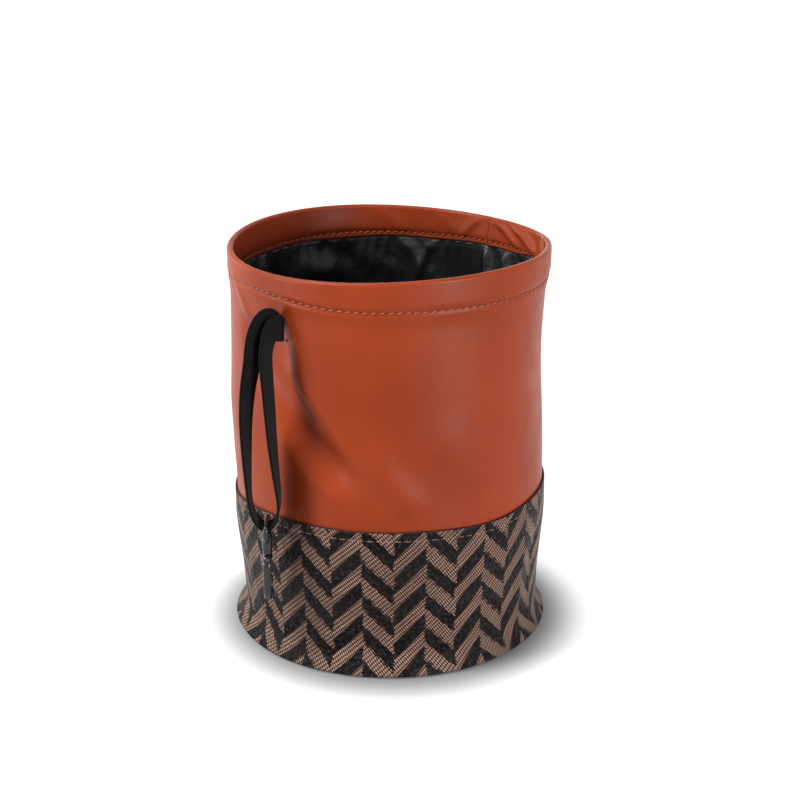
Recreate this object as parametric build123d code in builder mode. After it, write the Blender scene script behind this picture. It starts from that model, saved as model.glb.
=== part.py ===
"""Car trash bin: a soft leather-look cylinder with a printed lower band, a black lining, and a webbing
loop at the side that carries a swivel snap hook. Millimetres, +Z up, origin at the centre of the base."""

import os
from math import cos, degrees, hypot, radians, sin, tan

from build123d import *

# Overall sizes
bin_height = 200.0
rim_radius = 80.4
base_radius = 82.0
waist_radius = 77.5
band_height = 78.5

# Sheet materials
leather_thickness = 1.1
band_thickness = 1.2
panel_thickness = 1.0
board_thickness = 1.2
lining_thickness = 0.4
ply_gap = 0.15

# Hem of the upper panel, folded in over a springy hoop
hoop_thickness = 0.7
hoop_height = 9.0
hoop_end_gap = 4.0
seam_angle = 46.5
hem_depth = 16.5
stitch_drop = 14.0
hem_step = 3.4
hem_bend = 3.0
fold_share = 0.49

# Lower band, lapped over the panel above and turned under the base
lap_depth = 12.0
shoulder_drop = 14.5
waist_top = 32.0
waist_bottom = 11.5
edge_height = 3.2
flap_width = 8.5
base_clearance = 0.56

# Bends of the lower band: how far from each corner the sheet starts to turn
edge_run = 1.6
flare_run = 1.1
waist_run = 1.8
wall_run = 2.4

# Lining and its woven label
lining_slack = 0.25
lining_tuck = 2.0
label_width = 26.0
label_height = 30.0
label_thickness = 0.5
label_drop = 2.5
label_angle = 57.5

# Strap, flat webbing with both ends in one slit of the wall
strap_width = 12.0
strap_thickness = 1.3
strap_split = 0.2
strap_angle = -129.5
strap_drop = 27.0
strap_inset = 0.94

# Route of the strap: x, y, z, then the heading of its width about Z and the rise of its width, in degrees
strap_route = [
    (-50.26, -59.79, 173.0, -129.5, 90),
    (-51.62, -61.45, 173.1, -129.5, 90),
    (-53.44, -63.57, 176.0, -129.5, 86),
    (-56.30, -66.41, 179.5, -129.5, 73),
    (-59.59, -69.14, 177.3, -130, 42),
    (-61.88, -71.13, 170.5, -131, 14),
    (-62.70, -72.00, 162.0, -131, 0),
    (-65.60, -71.90, 148.0, -123, 0),
    (-67.10, -71.70, 133.0, -115, 0),
    (-67.30, -71.40, 118.0, -107, 0),
    (-67.10, -71.00, 103.0, -98, 0),
    (-66.70, -70.60, 90.0, -91, 0),
    (-65.40, -70.50, 83.6, -90, 0),
    (-63.30, -70.50, 79.6, -90, 0),
    (-60.90, -70.50, 77.2, -90, 0),
    (-58.80, -70.50, 76.6, -90, 0),
    (-56.70, -70.50, 77.2, -90, 0),
    (-54.60, -70.50, 79.2, -90, 0),
    (-53.00, -70.50, 83.2, -90, 0),
    (-52.40, -70.50, 90.0, -91, 0),
    (-53.60, -70.40, 102.0, -97, 0),
    (-55.00, -70.40, 118.0, -104, 0),
    (-55.80, -70.40, 134.0, -109, 0),
    (-56.60, -70.50, 149.0, -112, 0),
    (-57.20, -70.50, 161.0, -114, 0),
    (-56.38, -69.97, 167.8, -118, 12),
    (-54.98, -68.27, 172.6, -124, 42),
    (-53.40, -66.20, 175.2, -129.5, 70),
    (-51.83, -64.13, 174.5, -129.5, 86),
    (-50.47, -62.40, 173.1, -129.5, 90),
    (-49.10, -60.74, 173.0, -129.5, 90),
]

# Swivel snap hook: the eye that hangs on the strap
running_clearance = 0.3
bar_clearance = 0.4
eye_bar = 2.6
eye_window_margin = 0.5
eye_straight = 7.6
eye_reach = 9.6
eye_foot_width = 8.4
eye_corner = 3.2
eye_edge = 1.1
hub_radius = 2.5
hub_length = 7.0

# Swivel snap hook: the body with its post
post_radius = 1.2
post_head_radius = 2.0
post_head_height = 1.0
neck_radius = 2.3
neck_length = 1.3
neck_root = 3.0
body_width = 13.6
body_length = 25.0
body_thickness = 3.8
body_edge = 1.1
throat_width = 8.0
throat_length = 14.6
tip_width = 2.8
mouth_length = 8.4
tip_corner = 1.1

# Swivel snap hook: the sprung gate
gate_thickness = 1.8
gate_width = 2.2
gate_hub_radius = 2.6
gate_lap = 2.6
gate_side_clearance = 0.3
gate_hub_clearance = 0.5
gate_swing_room = 3.6
pivot_offset = 3.4
pivot_drop = 5.2
pin_radius = 0.7
pin_clearance = 0.1
pin_fit = 0.02
knob_reach = 3.4
knob_length = 3.6
knob_drop = 2.3
knob_corner = 1.0
spring_wire = 0.3
spring_radius = 1.3
spring_pitch = 0.36
spring_turns = 2.0
spring_pocket_radius = 1.9
spring_pocket_depth = 1.1

# Radii and heights that follow from the plies
wall_radius = rim_radius - band_thickness - ply_gap
hem_thickness = 2 * leather_thickness + hoop_thickness + 2 * ply_gap
fold_bend = fold_share * hem_thickness
panel_bottom = band_height - lap_depth
shoulder = band_height - shoulder_drop
stitch_height = bin_height - stitch_drop
facing_bottom = bin_height - hem_depth
hoop_top = bin_height - hem_thickness / 2
hoop_bottom = hoop_top - hoop_height
hoop_radius = rim_radius - leather_thickness - ply_gap
lining_radius = wall_radius - leather_thickness - ply_gap
lining_base_radius = min(waist_radius, base_radius) - band_thickness - ply_gap - lining_slack
facing_radius = lining_radius - lining_thickness - ply_gap - leather_thickness
panel_level = band_thickness + ply_gap
board_level = panel_level + panel_thickness + ply_gap
board_top = board_level + board_thickness
lining_level = board_top + ply_gap
flare_slope = (base_radius - waist_radius) / (waist_bottom - edge_height)
flare_reach = band_thickness * hypot(1, flare_slope) + (board_top - edge_height) * flare_slope
base_inner_radius = base_radius - flare_reach - base_clearance
strap_height = bin_height - strap_drop


def radial_plane(angle):
    """Upright plane through the Z axis: local x points outwards at the angle, local y points up."""
    outward = Vector(cos(radians(angle)), sin(radians(angle)), 0)
    return Plane(origin=(0, 0, 0), x_dir=outward, z_dir=outward.cross(Vector(0, 0, 1)))


def bend_radius(before, corner, after, run):
    """Radius of a bend that starts and ends a run away from its corner."""
    arriving = Vector(*corner) - Vector(*before)
    leaving = Vector(*after) - Vector(*corner)
    return run / tan(radians(arriving.get_angle(leaving)) / 2)


# Upper panel: one sheet, folded in over the rim as a facing, with a slit for the strap
with BuildPart() as upper_panel:
    with BuildSketch(Plane.XZ):
        with BuildLine():
            FilletPolyline(
                (wall_radius, panel_bottom),
                (wall_radius, stitch_height - hem_step / 2),
                (rim_radius, stitch_height + hem_step / 2),
                (rim_radius, bin_height),
                (rim_radius - hem_thickness, bin_height),
                (rim_radius - hem_thickness, stitch_height + 2 * hem_step),
                (facing_radius, stitch_height + hem_step),
                (facing_radius, facing_bottom),
                radius=[hem_bend, hem_bend, fold_bend, fold_bend, hem_bend, hem_bend],
            )
            offset(amount=leather_thickness, side=Side.LEFT)
        make_face()
    revolve(axis=Axis.Z)
    slit_width = 2 * strap_thickness + strap_split + 2 * ply_gap
    slit_plane = Plane(origin=(0, 0, strap_height), z_dir=radial_plane(strap_angle).x_dir, x_dir=(0, 0, 1))
    with BuildSketch(slit_plane):
        Rectangle(strap_width + 2 * ply_gap, slit_width)
    extrude(amount=rim_radius, mode=Mode.SUBTRACT)
upper_panel.part.label = "upper_panel"

# Rim hoop: a flat plastic strip, bent round inside the hem with its ends at the side seam
hoop_gap_angle = degrees(hoop_end_gap / hoop_radius)
with BuildPart() as rim_hoop:
    with BuildSketch(radial_plane(seam_angle + hoop_gap_angle / 2)):
        with Locations((hoop_radius, hoop_bottom)):
            Rectangle(hoop_thickness, hoop_height, align=(Align.MAX, Align.MIN))
    revolve(axis=Axis.Z, revolution_arc=360 - hoop_gap_angle)
rim_hoop.part.label = "rim_hoop"

# Lower band: printed sheet that pinches in above the base, flares over its edge and turns under it
band_corners = [
    (base_radius - flap_width, 0),
    (base_radius, 0),
    (base_radius, edge_height),
    (waist_radius, waist_bottom),
    (waist_radius, waist_top),
    (rim_radius, shoulder),
    (rim_radius, band_height),
]
band_runs = [edge_run, flare_run, waist_run, wall_run, wall_run]
band_turns = zip(band_corners, band_corners[1:], band_corners[2:], band_runs)
with BuildPart() as lower_band:
    with BuildSketch(Plane.XZ):
        with BuildLine():
            FilletPolyline(*band_corners, radius=[bend_radius(*turn) for turn in band_turns])
            offset(amount=band_thickness, side=Side.LEFT)
        make_face()
    revolve(axis=Axis.Z)
lower_band.part.label = "lower_band"

# Base: outer sheet and stiffening board
with BuildPart() as base_panel:
    with BuildSketch(Plane.XY.offset(panel_level)):
        Circle(base_inner_radius)
    extrude(amount=panel_thickness)
base_panel.part.label = "base_panel"

with BuildPart() as base_board:
    with BuildSketch(Plane.XY.offset(board_level)):
        Circle(base_inner_radius)
    extrude(amount=board_thickness)
base_board.part.label = "base_board"

# Lining: a tube sewn under the facing, its round floor and a plain woven label
with BuildPart() as lining_wall:
    with BuildSketch(Plane.XZ):
        with BuildLine():
            Polyline(
                (lining_base_radius, lining_level),
                (lining_base_radius, waist_top),
                (lining_radius, shoulder),
                (lining_radius, stitch_height + lining_tuck),
            )
            offset(amount=lining_thickness, side=Side.LEFT)
        make_face()
    revolve(axis=Axis.Z)
lining_wall.part.label = "lining_wall"

with BuildPart() as lining_floor:
    with BuildSketch(Plane.XY.offset(lining_level)):
        Circle(lining_base_radius - lining_thickness - ply_gap)
    extrude(amount=lining_thickness)
lining_floor.part.label = "lining_floor"

label_radius = lining_radius - lining_thickness - ply_gap
label_arc = degrees(label_width / label_radius)
with BuildPart() as lining_label:
    with BuildSketch(radial_plane(label_angle - label_arc / 2)):
        with Locations((label_radius, facing_bottom - label_drop)):
            Rectangle(label_thickness, label_height, align=(Align.MAX, Align.MAX))
    revolve(axis=Axis.Z, revolution_arc=label_arc)
lining_label.part.label = "lining_label"

# Strap: sections of the webbing, turned to its heading along the route
outward = radial_plane(strap_angle).x_dir
strap_shift = outward * (wall_radius - strap_inset - hypot(*strap_route[0][:2]))
strap_shift += Vector(0, 0, strap_height - strap_route[0][2])
strap_points = [Vector(*station[:3]) + strap_shift for station in strap_route]
strap_length = sum((b - a).length for a, b in zip(strap_points, strap_points[1:]))
with BuildPart() as strap_loop:
    for index, (*_, heading, rise) in enumerate(strap_route):
        before = strap_points[max(index - 1, 0)]
        after = strap_points[min(index + 1, len(strap_points) - 1)]
        travel = (after - before).normalized()
        if index == 0:
            travel = outward
        if index == len(strap_route) - 1:
            travel = -outward
        level = Vector(cos(radians(heading)), sin(radians(heading)), 0) * cos(radians(rise))
        across = level + Vector(0, 0, sin(radians(rise)))
        across = (across - travel * across.dot(travel)).normalized()
        with BuildSketch(Plane(origin=strap_points[index], x_dir=across, z_dir=travel)):
            Rectangle(strap_width, strap_thickness)
    loft(ruled=True)
strap_loop.part.label = "strap_loop"

# Hook datum: the middle of the eye's bar, resting in the lowest bend of the strap
bight = min(strap_points, key=lambda point: point.Z)
bar_middle = bight + Vector(0, 0, strap_thickness / 2 + bar_clearance + eye_bar / 2)
hook_plane = Plane(origin=bar_middle, x_dir=(0, 1, 0), z_dir=(1, 0, 0))
hub_top = -eye_reach + eye_bar
hub_bottom = hub_top - hub_length
neck_top = hub_bottom - running_clearance
head_top = neck_top - neck_length
body_bottom = head_top - body_length
throat_bottom = body_bottom + tip_width
mouth_top = head_top - body_width / 2
mouth_bottom = mouth_top - mouth_length
pivot_level = head_top - pivot_drop


def level_plane(height):
    """Level plane at a height above the eye's bar, centred on the hook."""
    return Plane(origin=bar_middle + Vector(0, 0, height))


# Hook eye: a flat cast loop for the webbing on a round hub
with BuildPart() as hook_eye:
    eye_half = strap_width / 2 + eye_window_margin + eye_bar
    with BuildSketch(hook_plane) as eye_sketch:
        with BuildLine():
            Polyline(
                (-eye_half, eye_bar / 2),
                (eye_half, eye_bar / 2),
                (eye_half, eye_bar / 2 - eye_straight),
                (eye_foot_width / 2, -eye_reach),
                (-eye_foot_width / 2, -eye_reach),
                (-eye_half, eye_bar / 2 - eye_straight),
                close=True,
            )
        make_face()
        fillet(eye_sketch.vertices(), radius=eye_corner)
        offset(amount=-eye_bar, mode=Mode.SUBTRACT)
    extrude(amount=eye_bar / 2, both=True)
    fillet(hook_eye.edges().filter_by(Axis.X, reverse=True), radius=eye_edge)
    with BuildSketch(level_plane(hub_top)):
        Circle(hub_radius)
    extrude(amount=-hub_length)
    with BuildSketch(level_plane(hub_top)):
        Circle(post_radius + running_clearance)
    extrude(amount=-hub_length, mode=Mode.SUBTRACT)
hook_eye.part.label = "hook_eye"

# Hook body: a flat cast hook with a fork for the gate, hung from the eye by a headed post
with BuildPart() as hook_body:
    with BuildSketch(hook_plane) as body_sketch:
        with Locations((0, (head_top + body_bottom) / 2)):
            SlotOverall(body_length, body_width, rotation=90)
        with Locations((0, throat_bottom)):
            throat_align = (Align.MIN, Align.CENTER)
            SlotOverall(throat_length, throat_width, rotation=90, align=throat_align, mode=Mode.SUBTRACT)
        with Locations((0, mouth_top)):
            Rectangle(body_width, mouth_length, align=(Align.MIN, Align.MAX), mode=Mode.SUBTRACT)
        tip_corners = body_sketch.vertices().filter_by_position(
            Axis.Z, bar_middle.Z + mouth_bottom - tip_corner, bar_middle.Z + mouth_bottom + tip_corner
        )
        fillet(tip_corners, radius=tip_corner)
    extrude(amount=body_thickness / 2, both=True)
    fillet(hook_body.edges().filter_by(Axis.X, reverse=True), radius=body_edge)
    with BuildSketch(level_plane(neck_top)):
        Circle(neck_radius)
    extrude(amount=-(neck_length + neck_root))
    with BuildSketch(level_plane(neck_top)):
        Circle(post_radius)
    extrude(amount=running_clearance + hub_length + running_clearance)
    with BuildSketch(level_plane(hub_top + running_clearance)):
        Circle(post_head_radius)
    extrude(amount=post_head_height)
    fork_radius = gate_hub_radius + gate_hub_clearance
    with BuildSketch(hook_plane):
        with Locations((pivot_offset, pivot_level)):
            Circle(fork_radius)
            Rectangle(body_width, 2 * fork_radius, align=(Align.MIN, Align.CENTER))
            with Locations((-gate_swing_room, 0)):
                Rectangle(body_width, pivot_drop, align=(Align.MIN, Align.MAX))
    extrude(amount=gate_thickness / 2 + gate_side_clearance, both=True, mode=Mode.SUBTRACT)
    with BuildSketch(hook_plane):
        with Locations((pivot_offset, pivot_level)):
            Circle(pin_radius + pin_fit)
    extrude(amount=body_thickness, both=True, mode=Mode.SUBTRACT)
hook_body.part.label = "hook_body"

# Hook gate: a sprung lever that closes the mouth from inside the tip, with a thumb knob
gate_outer = throat_width / 2 - running_clearance
gate_end = mouth_bottom - gate_lap
with BuildPart() as hook_gate:
    with BuildSketch(hook_plane) as gate_sketch:
        with Locations((gate_outer, pivot_level)):
            Rectangle(gate_width, pivot_level - gate_end, align=(Align.MAX, Align.MAX))
        with Locations((gate_outer - gate_width / 2, mouth_top - knob_drop)):
            Rectangle(gate_width / 2 + knob_reach, knob_length, align=(Align.MIN, Align.MAX))
        fillet(gate_sketch.vertices().group_by(Axis.Y)[-1], radius=knob_corner)
        fillet(gate_sketch.vertices().group_by(Axis.Z)[0], radius=knob_corner)
        with Locations((pivot_offset, pivot_level)):
            Circle(gate_hub_radius)
    extrude(amount=gate_thickness / 2, both=True)
    with BuildSketch(hook_plane):
        with Locations((pivot_offset, pivot_level)):
            Circle(pin_radius + pin_clearance)
    extrude(amount=gate_thickness, both=True, mode=Mode.SUBTRACT)
    with BuildSketch(hook_plane.offset(gate_thickness / 2)):
        with Locations((pivot_offset, pivot_level)):
            Circle(spring_pocket_radius)
    extrude(amount=-spring_pocket_depth, mode=Mode.SUBTRACT)
hook_gate.part.label = "hook_gate"

# Gate pin and the coil spring round it
with BuildPart() as gate_pin:
    with BuildSketch(hook_plane.offset(-body_thickness / 2)):
        with Locations((pivot_offset, pivot_level)):
            Circle(pin_radius)
    extrude(amount=body_thickness)
gate_pin.part.label = "gate_pin"

with BuildPart() as gate_spring:
    coil_height = spring_pitch * spring_turns
    coil_start = gate_thickness / 2 - spring_pocket_depth + spring_wire
    coil_middle = hook_plane.from_local_coords((pivot_offset, pivot_level, coil_start))
    with BuildLine():
        coil = Helix(spring_pitch, coil_height, spring_radius, center=coil_middle, direction=hook_plane.z_dir)
    with BuildSketch(Plane(origin=coil @ 0, z_dir=coil % 0)):
        Circle(spring_wire / 2)
    sweep(path=coil, is_frenet=True)
gate_spring.part.label = "gate_spring"

# One file for each piece
pieces = [
    upper_panel, rim_hoop, lower_band, base_panel, base_board, lining_wall, lining_floor, lining_label,
    strap_loop, hook_eye, hook_body, hook_gate, gate_pin, gate_spring,
]
os.makedirs("parts", exist_ok=True)
for piece in pieces:
    export_step(piece.part, f"parts/{piece.part.label}.step")
print(f"strap length {strap_length:.1f} mm, bar at {bar_middle}, pivot at {pivot_offset}, {pivot_level}")
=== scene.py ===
"""Looks of a soft car trash bin: a tan leather wall over a printed lower band, a black lining,
and a webbing loop that carries a swivel snap hook. Metres, +Z up, front towards -Y."""

import math

import bmesh
import bpy
import numpy as np
from bpy.props import FloatProperty, FloatVectorProperty, IntProperty, PointerProperty
from bpy.types import Operator, Panel, PropertyGroup
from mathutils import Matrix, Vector


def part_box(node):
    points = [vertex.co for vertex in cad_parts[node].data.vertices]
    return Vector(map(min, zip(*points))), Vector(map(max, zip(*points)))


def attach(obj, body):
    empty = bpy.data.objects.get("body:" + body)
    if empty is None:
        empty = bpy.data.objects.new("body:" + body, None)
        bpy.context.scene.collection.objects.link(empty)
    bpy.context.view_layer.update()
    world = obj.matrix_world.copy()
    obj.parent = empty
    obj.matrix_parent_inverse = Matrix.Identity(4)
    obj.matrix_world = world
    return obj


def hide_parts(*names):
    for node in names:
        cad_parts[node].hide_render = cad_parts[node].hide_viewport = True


bl_info = {
    "name": "Car Trash Bin",
    "version": (1, 0, 0),
    "blender": (4, 5, 0),
    "location": "View3D > Sidebar > Car Bin",
    "description": "Dresses the solids of a soft car trash bin with leather, lining, webbing and thread",
    "category": "Object",
}

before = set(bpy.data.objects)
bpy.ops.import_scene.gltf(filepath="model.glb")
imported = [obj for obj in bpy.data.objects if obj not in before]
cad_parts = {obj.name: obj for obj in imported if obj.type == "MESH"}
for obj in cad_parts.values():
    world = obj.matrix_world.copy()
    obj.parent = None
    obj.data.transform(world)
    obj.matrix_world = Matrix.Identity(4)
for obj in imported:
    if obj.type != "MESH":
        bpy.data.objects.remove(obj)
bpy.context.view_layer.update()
panel_low, panel_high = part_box("upper_panel")
_, band_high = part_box("lower_band")
lining_low, lining_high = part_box("lining_wall")

MM = 0.001

# Angles round the bin are in degrees from +X, so its front is at -90
SEAM_ANGLE = 46.5  # sewn side seam, at the right of the back
STRAP_ANGLE = -129.5  # slit that takes both ends of the strap
LABEL_ANGLES = (47.8, 67.2)  # right and left sides of the woven label

LINING_THICKNESS = 0.0004
LINING_COLUMNS = 480
HOLLOW_DEPTH = 0.0054
BASE_STITCHES = 96
SLIT_BAR_HEIGHTS = (0.1660, 0.1664, 0.1666, 0.1670)
SLIT_BAR_RADIUS = 0.00028

# Route of the strap: x, y, z in mm, then the heading about Z and the rise of its width, in degrees
STRAP_ROUTE = [
    (-50.26, -59.79, 173.0, -129.5, 90),
    (-51.62, -61.45, 173.1, -129.5, 90),
    (-53.44, -63.57, 176.0, -129.5, 86),
    (-56.30, -66.41, 179.5, -129.5, 73),
    (-59.59, -69.14, 177.3, -130, 42),
    (-61.88, -71.13, 170.5, -131, 14),
    (-62.70, -72.00, 162.0, -131, 0),
    (-65.60, -71.90, 148.0, -123, 0),
    (-67.10, -71.70, 133.0, -115, 0),
    (-67.30, -71.40, 118.0, -107, 0),
    (-67.10, -71.00, 103.0, -98, 0),
    (-66.70, -70.60, 90.0, -91, 0),
    (-65.40, -70.50, 83.6, -90, 0),
    (-63.30, -70.50, 79.6, -90, 0),
    (-60.90, -70.50, 77.2, -90, 0),
    (-58.80, -70.50, 76.6, -90, 0),
    (-56.70, -70.50, 77.2, -90, 0),
    (-54.60, -70.50, 79.2, -90, 0),
    (-53.00, -70.50, 83.2, -90, 0),
    (-52.40, -70.50, 90.0, -91, 0),
    (-53.60, -70.40, 102.0, -97, 0),
    (-55.00, -70.40, 118.0, -104, 0),
    (-55.80, -70.40, 134.0, -109, 0),
    (-56.60, -70.50, 149.0, -112, 0),
    (-57.20, -70.50, 161.0, -114, 0),
    (-56.38, -69.97, 167.8, -118, 12),
    (-54.98, -68.27, 172.6, -124, 42),
    (-53.40, -66.20, 175.2, -129.5, 70),
    (-51.83, -64.13, 174.5, -129.5, 86),
    (-50.47, -62.40, 173.1, -129.5, 90),
    (-49.10, -60.74, 173.0, -129.5, 90),
]

# Half of the webbing's section, in shares of half its width and thickness: a face, then a rounded edge
WEBBING_SECTION = [
    (-0.90, 1.0), (-0.8, 0.9), (-0.4, 0.86), (0, 0.86), (0.4, 0.86), (0.8, 0.9), (0.90, 1.0),
    (0.985, 0.6), (1.0, 0.0), (0.985, -0.6),
]

# Broad dents of the wall: lift (mm, negative is a hollow), angle and reach (degrees), height and reach (mm)
WALL_DENTS = [
    (1.2, 186, 42, 118, 50),
    (-2.3, -4, 34, 149, 34),
    (-0.9, 95, 40, 125, 40),
    (-1.6, -129, 5.5, 155, 12),
]

# Right edge of the hollow beside the strap: height in mm and angle in degrees
STRAP_FOLD = [
    (92, -80), (104, -92), (111, -98), (118, -104), (124.5, -108),
    (133, -112.5), (141.5, -118.5), (146.5, -122), (151.5, -124.5), (166, -125),
]

# Creases: angle and height at both ends (degrees, mm), half width and lift (mm, negative is a hollow)
LEATHER_CREASES = [
    (-97, 117, -80, 84, 8.0, 2.2),
    (-72, 128, -52, 96, 13.0, 1.0),
    (-161, 196, -146, 171, 2.6, 0.9),
    (-175, 130, -150, 104, 14.0, 0.6),
    (20, 150, 60, 110, 16.0, -0.9),
    (100, 140, 150, 95, 15.0, 0.8),
    (150, 165, 115, 120, 14.0, -0.8),
]
BAND_CREASES = [
    (-116, 15, -99, 26, 3.5, 0.8),
    (-115, 8, -97, 18, 4.5, -0.9),
    (-74, 38, -44, 49, 4.5, -1.1),
    (-72, 30, -46, 40, 5.0, 0.7),
    (-31, 56, -34, 20, 4.0, 0.8),
    (-22, 60, -24, 14, 4.5, -1.2),
    (-52, 30, -40, 10, 5.0, -0.7),
    (-150, 50, -138, 16, 6.0, -0.8),
    (170, 48, 150, 15, 7.0, -0.9),
    (100, 45, 120, 18, 7.0, 0.8),
    (40, 50, 20, 16, 6.0, -0.9),
    (70, 22, 95, 12, 5.0, 0.7),
]
FACING_CREASES = [
    (43, 199, 29, 188, 2.2, -1.5),
    (34, 199, 14, 189, 2.6, -1.9),
    (52, 199, 60, 187, 2.4, -0.8),
    (70, 198, 62, 188, 3.0, -0.6),
    (8, 200, -4, 187, 2.4, -1.8),
    (-12, 199, -20, 188, 3.0, -1.0),
    (95, 198, 84, 187, 4.0, -0.5),
    (140, 198, 128, 188, 5.0, -0.5),
]
LINING_FOLDS = [
    (133, 176, 106, 160, 6.0, -1.0),
    (122, 182, 104, 170, 5.0, 0.6),
    (104, 176, 88, 162, 6.0, -1.2),
    (84, 183, 74, 158, 4.0, -2.6),
    (72, 184, 80, 160, 3.0, -1.6),
    (48, 183, 44, 150, 3.0, -2.8),
    (38, 184, 30, 158, 3.2, -3.0),
    (28, 184, 24, 165, 2.6, 1.6),
    (19, 184, 20, 160, 3.0, -3.2),
    (150, 180, 158, 150, 5.0, -2.0),
]

# Softboxes: place and aim, width in metres and power in watts
LAMPS = {
    "top_left_box": ((-0.73, -0.265, 1.21), (0, 0, 0.1), 0.3, 16),
    "left_box": ((-1.23, -0.42, 0.22), (0, 0, 0.13), 0.4, 7),
    "right_box": ((0.90, -0.94, 0.20), (0, 0, 0.13), 0.5, 13),
    "top_front_box": ((0, -0.75, 1.17), (0, 0, 0.1), 0.3, 1.5),
    "back_left_box": ((-1.05, 0.78, 0.30), (0, 0, 0.13), 0.4, 2),
    "back_box": ((0.1, 1.35, 0.16), (0, 0, 0.1), 1.0, 3),
}
LAMP_HEIGHT = 0.3
WORLD_LIGHT = 0.07

# The photo's view: place in metres, tilt from straight down in degrees, lens and sensor in mm
CAMERA_PLACE = (0.00526, -0.78284, 0.39604)
CAMERA_TILT = 70.314
CAMERA_LENS = 72.806
CAMERA_SENSOR = 36


def size_prop(name, description, default):
    """A length that a user may change."""
    return FloatProperty(name=name, description=description, default=default, unit="LENGTH")


def colour_prop(name, description, default):
    """A colour that a user may change."""
    return FloatVectorProperty(name=name, description=description, default=default, subtype="COLOR")


class CarBinSizes(PropertyGroup):
    """Sizes that shape the soft pieces."""

    bin_height: size_prop("Bin Height", "Height of the rim above the floor", panel_high.z)
    rim_radius: size_prop("Rim Radius", "Outer radius of the hem", panel_high.x)
    wall_step: size_prop("Wall Step", "How far the wall lies inside the hem", 0.00135)
    panel_bottom: size_prop("Panel Bottom", "Lower edge of the leather behind the band", panel_low.z)
    leather_thickness: size_prop("Leather Thickness", "Thickness of the wall's sheet", 0.0011)
    hem_thickness: size_prop("Hem Thickness", "Thickness of the folded rim", 0.0032)
    hem_depth: size_prop("Hem Depth", "Depth of the leather turned in at the rim", 0.0165)
    stitch_drop: size_prop("Stitch Drop", "Hem stitching below the rim", 0.014)
    stitch_rise: size_prop("Stitch Rise", "How much the hem stitching climbs at the left", 0.0034)
    hem_stitches: IntProperty(
        name="Hem Stitches", description="Stitches in one turn of the hem", default=126, min=24
    )
    band_stitches: IntProperty(
        name="Band Stitches", description="Stitches in one turn of the band's top edge", default=112, min=24
    )
    band_stitch_drop: size_prop("Band Stitch Drop", "Band stitching below its top edge", 0.0045)
    thread_radius: size_prop("Thread Radius", "Radius of the sewing thread", 0.00026)
    band_height: size_prop("Band Height", "Top edge of the lower band", band_high.z)
    band_thickness: size_prop("Band Thickness", "Thickness of the printed sheet", 0.0012)
    base_radius: size_prop("Base Radius", "Radius where the band turns under", band_high.x)
    waist_radius: size_prop("Waist Radius", "Radius where the band pinches in", 0.0775)
    waist_bottom: size_prop("Waist Bottom", "Height where the base starts to flare", 0.0115)
    waist_top: size_prop("Waist Top", "Height where the band starts to widen", 0.032)
    shoulder: size_prop("Shoulder", "Height where the band reaches the hem's radius", 0.064)
    flap_width: size_prop("Flap Width", "Width of the band turned under the base", 0.0085)
    lining_slack: size_prop("Lining Slack", "How far the loose lining hangs inwards", 0.0045)
    strap_width: size_prop("Strap Width", "Width of the webbing", 0.012)
    strap_thickness: size_prop("Strap Thickness", "Thickness of the webbing", 0.0013)
    bar_width: size_prop("Bar Width", "Width of the slanted bars printed on the band", 0.0065)
    column_width: size_prop("Column Width", "Width of the columns of printed bars", 0.0158)


class CarBinFinish(PropertyGroup):
    """Colours of the finishes, in linear light."""

    leather: colour_prop("Leather", "Tan of the wall", (0.345, 0.048, 0.011))
    leather_dark: colour_prop("Leather Shade", "Deeper tan in the grain", (0.288, 0.037, 0.0077))
    thread: colour_prop("Thread", "Pale thread of the hem", (0.60, 0.18, 0.08))
    band_brown: colour_prop("Print Brown", "Brown ground of the print", (0.045, 0.019, 0.013))
    band_tan: colour_prop("Print Tan", "Tan twill of the print", (0.72, 0.48, 0.37))
    band_black: colour_prop("Print Black", "Near black of the print", (0.003, 0.002, 0.0025))
    edge_paint: colour_prop("Edge Paint", "Painted edge of the band", (0.018, 0.010, 0.008))
    nylon: colour_prop("Nylon", "Black of the lining", (0.0085, 0.0088, 0.010))
    webbing: colour_prop("Webbing", "Black of the strap", (0.008, 0.008, 0.009))
    enamel: colour_prop("Enamel", "Black of the hook", (0.006, 0.006, 0.007))


def sizes():
    """The sizes set on the scene."""
    return bpy.context.scene.car_bin_sizes


def colours():
    """The colours set on the scene."""
    return bpy.context.scene.car_bin_finish


# Shapes


def smooth(start, end, value):
    """0 at start and 1 at end, with an even slope between; start may be the larger."""
    share = np.clip((value - start) / (end - start), 0.0, 1.0)
    return share * share * (3 - 2 * share)


def hump(value, middle, width):
    """A soft hump of height 1."""
    return np.exp(-(((value - middle) / width) ** 2))


def turned(angle, middle):
    """Signed difference of two angles in degrees, within half a turn."""
    return (angle - middle + 180) % 360 - 180


def dent(angle, height, dent_angle, half_angle, dent_height, half_height):
    """A soft round dent of depth 1."""
    return hump(turned(angle, dent_angle), 0, half_angle) * hump(height, dent_height, half_height)


def degree_arc():
    """Length of one degree round the rim."""
    return math.radians(1) * sizes().rim_radius


def crease_lift(creases, angle, height):
    """Lift in metres that a list of creases gives at an angle in degrees and a height in metres."""
    arc = degree_arc() / MM
    lift = np.zeros(np.broadcast(angle, height).shape)
    for angle_a, height_a, angle_b, height_b, width, rise in creases:
        run = turned(angle_b, angle_a) * arc
        climb = height_b - height_a
        across = turned(angle, angle_a) * arc
        up = height / MM - height_a
        span = math.hypot(run, climb)
        along = (across * run + up * climb) / span**2
        off = (across * climb - up * run) / span
        lift += rise * np.exp(-((off / width) ** 2)) * smooth(-0.2, 0.25, along) * smooth(1.2, 0.75, along)
    return lift * MM


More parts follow.
